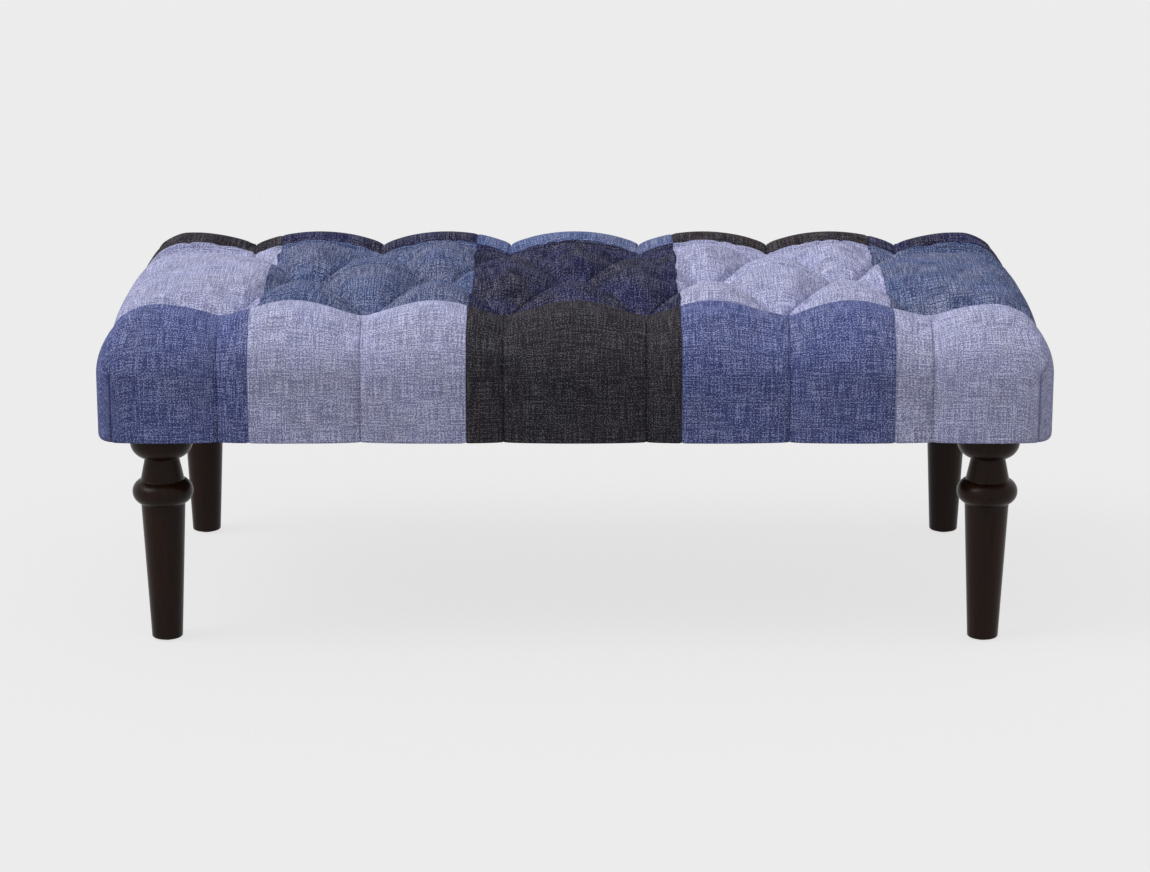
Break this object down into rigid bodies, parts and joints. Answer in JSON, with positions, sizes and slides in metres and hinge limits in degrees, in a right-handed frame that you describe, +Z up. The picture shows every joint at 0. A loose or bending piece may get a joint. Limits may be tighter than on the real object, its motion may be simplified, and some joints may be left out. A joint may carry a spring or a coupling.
{
  "type": "tufted footstool bench",
  "caption": "Long upholstered footstool bench with a diamond-tufted patchwork seat and dark turned legs.",
  "frame": {"origin": "on the floor under the middle of the seat", "axes": "+X along the seat's length to the right, +Z up, the front faces -Y"},
  "size_m": [1.245, 0.61, 0.457],
  "materials": {
    "royal_blue_fabric": "slubby plain weave, matt",
    "lavender_fabric": "slubby plain weave, matt",
    "charcoal_fabric": "slubby plain weave, matt",
    "slate_blue_fabric": "slubby plain weave, matt",
    "navy_fabric": "slubby plain weave, matt",
    "denim_blue_fabric": "slubby plain weave, matt",
    "brown_charcoal_fabric": "slubby plain weave, matt",
    "foam": "open-cell foam",
    "wadding": "polyester fibre",
    "dust_cloth": "non-woven, matt",
    "twine": "waxed twine",
    "frame_wood": "sawn softwood",
    "plywood": "sanded plywood",
    "espresso_wood": "dark stain under satin lacquer",
    "dowel_wood": "beech",
    "zinc_steel": "zinc plated",
    "glide_nylon": "moulded nylon",
    "washer_plastic": "moulded plastic"
  },
  "bodies": {
    "root": {"back_rail": "frame_wood", "back_wadding": "wadding", "corner_block_back_left": "frame_wood", "corner_block_back_right": "frame_wood", "corner_block_front_left": "frame_wood", "corner_block_front_right": "frame_wood", "corner_block_screws": "zinc_steel", "cover_back_1": "charcoal_fabric", "cover_back_2": "navy_fabric", "cover_back_3": "denim_blue_fabric", "cover_back_4": "brown_charcoal_fabric", "cover_back_5": "navy_fabric", "cover_front_1": "royal_blue_fabric", "cover_front_2": "lavender_fabric", "cover_front_3": "charcoal_fabric", "cover_front_4": "royal_blue_fabric", "cover_front_5": "lavender_fabric", "cover_top_1": "lavender_fabric", "cover_top_2": "slate_blue_fabric", "cover_top_3": "navy_fabric", "cover_top_4": "lavender_fabric", "cover_top_5": "slate_blue_fabric", "deck_panel": "plywood", "deck_screws": "zinc_steel", "dust_cover": "dust_cloth", "foam_pad": "foam", "foot_glide_back_left": "glide_nylon", "foot_glide_back_right": "glide_nylon", "foot_glide_front_left": "glide_nylon", "foot_glide_front_right": "glide_nylon", "front_rail": "frame_wood", "front_wadding": "wadding", "hanger_bolts": "zinc_steel", "left_cross_brace": "frame_wood", "left_rail": "frame_wood", "left_wadding": "wadding", "leg_back_left": "espresso_wood", "leg_back_right": "espresso_wood", "leg_front_left": "espresso_wood", "leg_front_right": "espresso_wood", "rail_dowels": "dowel_wood", "right_cross_brace": "frame_wood", "right_rail": "frame_wood", "right_wadding": "wadding", "tee_nuts": "zinc_steel", "tuft_buttons_1": "lavender_fabric", "tuft_buttons_2": "slate_blue_fabric", "tuft_buttons_3": "navy_fabric", "tuft_buttons_4": "lavender_fabric", "tuft_buttons_5": "slate_blue_fabric", "tuft_twines": "twine", "twine_washers": "washer_plastic"}
  },
  "joints": []
}
